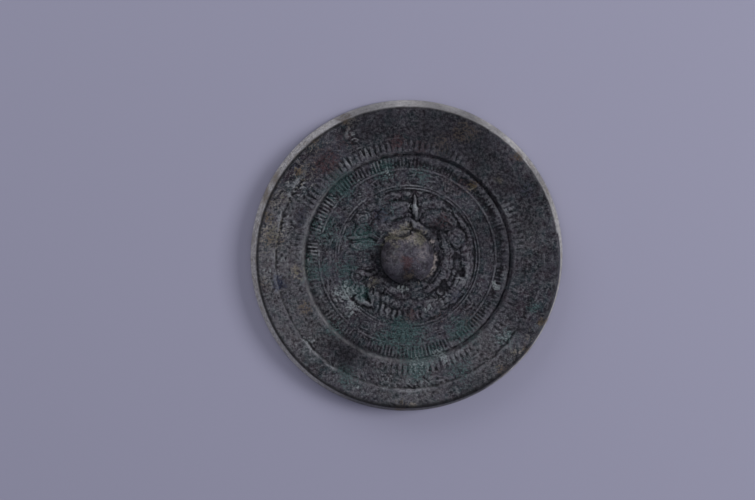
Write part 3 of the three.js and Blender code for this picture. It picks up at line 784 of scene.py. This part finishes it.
def corroded_tin_bronze():
    """Cast high-tin bronze after burial: a dark, low-sheen skin, dull where salts have grown on it."""
    material, tree, source = new_skin("corroded_tin_bronze", BRONZE_GRAINS, laid)
    off_middle = add_node(tree, "ShaderNodeMath", {0: source["veined"], 1: 0.5}, operation="SUBTRACT")[0]
    source["vein"] = add_node(tree, "ShaderNodeMath", {0: off_middle}, operation="ABSOLUTE")[0]
    for name, rareness, stray in SALTS:
        source["specks"] = total(tree, source, (name, 1.0), ("fine", 3.4), ("grain", 2.6))
        source[name] = share(tree, source, 1.0, ("specks", rareness, rareness + 0.6),
                             (name, 0.0, 0.3, stray, 1.0))

    edge_colour = laid_over(tree, source, linear("#b8b5ad"), [
        ("#fdfaf1", 1.0, ("fine", 0.35, 0.65)),
        ("#a9987c", 0.4, ("middle", 0.52, 0.65)),
        ("#45423f", 0.7, ("grain", 0.5, 0.3)),
        # Painted light on the edge towards +Y.
        ("#fdfaf1", 0.6, "edge_painted_light"),
    ])
    colour = laid_over(tree, source, linear("#24222a"), [
        # The bare skin, its grit and veins.
        ("#524f58", 1.0, ("broad", 0.38, 0.62)),
        ("#34464a", 0.75, ("middle", 0.5, 0.62)),
        ("#46373f", 0.7, ("middle", 0.47, 0.36)),
        ("#827f81", 0.9, ("fine", 0.47, 0.66), GRIT),
        ("#1b1a1f", 0.9, ("fine", 0.46, 0.32), GRIT),
        ("#8b8c8c", 0.5, ("vein", 0.035, 0.005)),
        # Dust, and painted light on the knob.
        ("#969390", 0.6, "dust_and_painted_light", ("fine", 0.3, 0.6)),
        (("#3e3940", "#6d656f", ("middle", 0.42, 0.56)), 0.6, "knob"),
        # Dirt and painted shade darken the hollows, and a painted highlight pales the heights. Rubbed
        # heights are paler still, with deeper painted shade in their hollows.
        ("#101014", 0.75, ("height", -0.1, -0.9)),
        ("#8c8a8d", 1.0, ("height", 0.1, 0.9), ("fine", 0.38, 0.6, 0.15, 0.65)),
        ("#c9ccca", 0.8, "rubbed_and_hollow_shade", ("grain", 0.35, 0.6, 0.2, 1.0), ("height", 0.0, 0.7)),
        ("#08080a", 0.9, "rubbed_and_hollow_shade", ("height", -0.1, -0.7)),
        # Pale crust and painted highlight at the knob's foot, and painted highlights on the edges of the
        # step and the ledge.
        ("#d2c6be", 1.0, "crescent"),
        ("#b3b1af", 0.8, "step_painted_highlight"),
        ("#a3a1a0", 0.35, "ledge_painted_highlight"),
        # Salts and soil, the pale edge, and over them soot, dirt and painted shade. The inside of the cord
        # hole is painted dark.
        (("#27423f", "#5b807b", ("grain", 0.35, 0.65)), 0.65, "malachite"),
        # Salt bloom, with a painted highlight on the seat's edge below the knob.
        ("#b4bcb9", 0.75, "bloom_and_painted_highlight"),
        ("#343c5c", 0.6, "azurite"),
        ("#5c3332", 0.6, "cuprite"),
        (("#8b8770", "#b3a99a", ("middle", 0.42, 0.56)), 0.75, "soil"),
        (edge_colour, 1.0, "edge"),
        ("#7d6a4c", 0.7, "ochre"),
        ("#1a1a1f", 0.8, ("grain", 0.48, 0.3), GRIT),
        ("#b8b7bc", 1.0, ("grain", 0.62, 0.76), ("soot_and_painted_shade", 0.0, 0.8, 0.8, 0.2)),
        # Soot, with painted shadow at the knob's foot and painted shade in the tail gaps.
        (("#111014", "#3a373c", ("fine", 0.4, 0.6)), 0.7, "soot_and_painted_shade"),
        # Dirt and painted shade along the lip.
        ("#121113", 0.9, "lip_line"),
        ("#1d1815", 1.0, "hole"),
    ])

    dull = share(tree, source, 1.0, ("fine", 0.35, 0.6))
    for name in DULL_SALTS:
        dull = add_node(tree, "ShaderNodeMath", {0: dull, 1: source[name]}, operation="MAXIMUM")[0]
    source["dull"] = dull
    pits = total(tree, source, ("grain", 1.2), ("fine", 2.0), ("middle", 3.0))
    bump = add_node(tree, "ShaderNodeBump", {"Height": pits, "Strength": 1.0, "Distance": 0.5 * MM})
    shader = tree.nodes["Principled BSDF"].inputs
    shader["Specular IOR Level"].default_value = 0.3
    tree.links.new(colour, shader["Base Color"])
    tree.links.new(share(tree, source, 1.0, ("dull", 0.0, 1.0, 0.45, 0.85)), shader["Roughness"])
    tree.links.new(share(tree, source, 1.0, ("dull", 0.0, 1.0, 0.3, 0.0)), shader["Metallic"])
    tree.links.new(bump["Normal"], shader["Normal"])
    return material


def tarnished_mirror_face():
    """The mirror face: ground and polished in its day, now a dull black-green skin with salt blooms."""
    grains = {"broad": (14.0, 6.0, 0.6), "fine": (1.6, 4.0, 0.7)}
    material, tree, source = new_skin("tarnished_mirror_face", grains)
    source["sum"] = total(tree, source, ("broad", 1.0), ("fine", 1.0))
    source["salts"] = share(tree, source, 1.0, ("sum", 1.08, 1.3))
    colour = laid_over(tree, source, linear("#25282a"), [
        ("#3b413f", 1.0, ("broad", 0.35, 0.65)),
        ("#56756b", 0.8, "salts"),
    ])
    bump = add_node(tree, "ShaderNodeBump", {
        "Height": source["fine"], "Strength": 0.25, "Distance": 0.08 * MM})
    shader = tree.nodes["Principled BSDF"].inputs
    tree.links.new(colour, shader["Base Color"])
    tree.links.new(share(tree, source, 1.0, ("salts", 0.0, 1.0, 0.28, 0.8)), shader["Roughness"])
    tree.links.new(share(tree, source, 1.0, ("salts", 0.0, 1.0, 0.8, 0.0)), shader["Metallic"])
    tree.links.new(bump["Normal"], shader["Normal"])
    return material


mesh.materials.clear()
mesh.materials.append(corroded_tin_bronze())
mesh.materials.append(tarnished_mirror_face())
for face in mesh.polygons:
    face.material_index = 1 if face.normal.z < -0.9 and face.center.z < FACE_SKIN_TOP * MM else 0
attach(mirror, "root")
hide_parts("bronze_mirror")

# --- The stage: floor, light and camera -----------------------------------------------------------
# A plain lavender-grey sheet under the mirror, a softbox on the right, a bigger and weaker one at the
# upper left, and a camera almost straight above, which sees a little more of the upper and left edge.
ROLL = radians(10)
RIGHT = Vector((cos(ROLL), -sin(ROLL), 0))
UP = Vector((sin(ROLL), cos(ROLL), 0))
OUT = Vector((0, 0, 1))
FLOOR_SIZE = 6.0

bpy.ops.object.select_all(action="DESELECT")
bpy.ops.mesh.primitive_plane_add(size=FLOOR_SIZE, location=(0, 0, 0))
sheet = bpy.context.object
sheet.name = "floor_sheet"
paper = bpy.data.materials.new("matt_paper_sheet")
paper.use_nodes = True
paper.node_tree.nodes["Principled BSDF"].inputs["Base Color"].default_value = linear("#b8b6c8")
paper.node_tree.nodes["Principled BSDF"].inputs["Roughness"].default_value = 0.9
sheet.data.materials.append(paper)


def aimed(direction, target=Vector((0, 0, 0)), up=UP):
    """The turn of a camera or lamp that stands in that direction and looks at the target."""
    back = direction.normalized()
    side = up.cross(back).normalized()
    return Matrix((side, back.cross(side), back)).transposed().to_4x4()


def softbox(name, place, size, power, colour):
    """A square lamp aimed at the mirror. Its place is metres along RIGHT, UP and OUT."""
    lamp = bpy.data.lights.new(name, "AREA")
    lamp.shape, lamp.size, lamp.energy, lamp.color = "SQUARE", size, power, linear(colour)[:3]
    holder = bpy.data.objects.new(name, lamp)
    position = RIGHT * place[0] + UP * place[1] + OUT * place[2]
    holder.matrix_world = Matrix.Translation(position) @ aimed(position)
    bpy.context.collection.objects.link(holder)


softbox("softbox_right", place=(0.92, 0.22, 0.8), size=0.5, power=6.5, colour="#f6f7ff")
softbox("softbox_top", place=(-0.55, 0.85, 0.55), size=0.7, power=2.8, colour="#f6f7ff")
world = bpy.data.worlds.new("studio_air")
world.use_nodes = True
world.node_tree.nodes["Background"].inputs["Color"].default_value = linear("#d2d4e6")
world.node_tree.nodes["Background"].inputs["Strength"].default_value = 0.33
bpy.context.scene.world = world

LENS, SENSOR = 90.0, 36.0
DISTANCE = 0.72
AIM_LEFT, AIM_UP = 0.0116, 0.0031
TILT_UP, TILT_LEFT = radians(6.0), radians(2.6)
eye = bpy.data.cameras.new("camera")
eye.lens, eye.sensor_width = LENS, SENSOR
camera = bpy.data.objects.new("camera", eye)
direction = (OUT + UP * np.tan(TILT_UP) - RIGHT * np.tan(TILT_LEFT)).normalized()
centre = Vector((0, 0, LIP_HEIGHT * MM * 0.7))
aim = centre - RIGHT * AIM_LEFT + UP * AIM_UP
camera.matrix_world = Matrix.Translation(aim + direction * DISTANCE) @ aimed(direction)
bpy.context.collection.objects.link(camera)
bpy.context.scene.camera = camera
bpy.context.scene.view_settings.view_transform = "Standard"
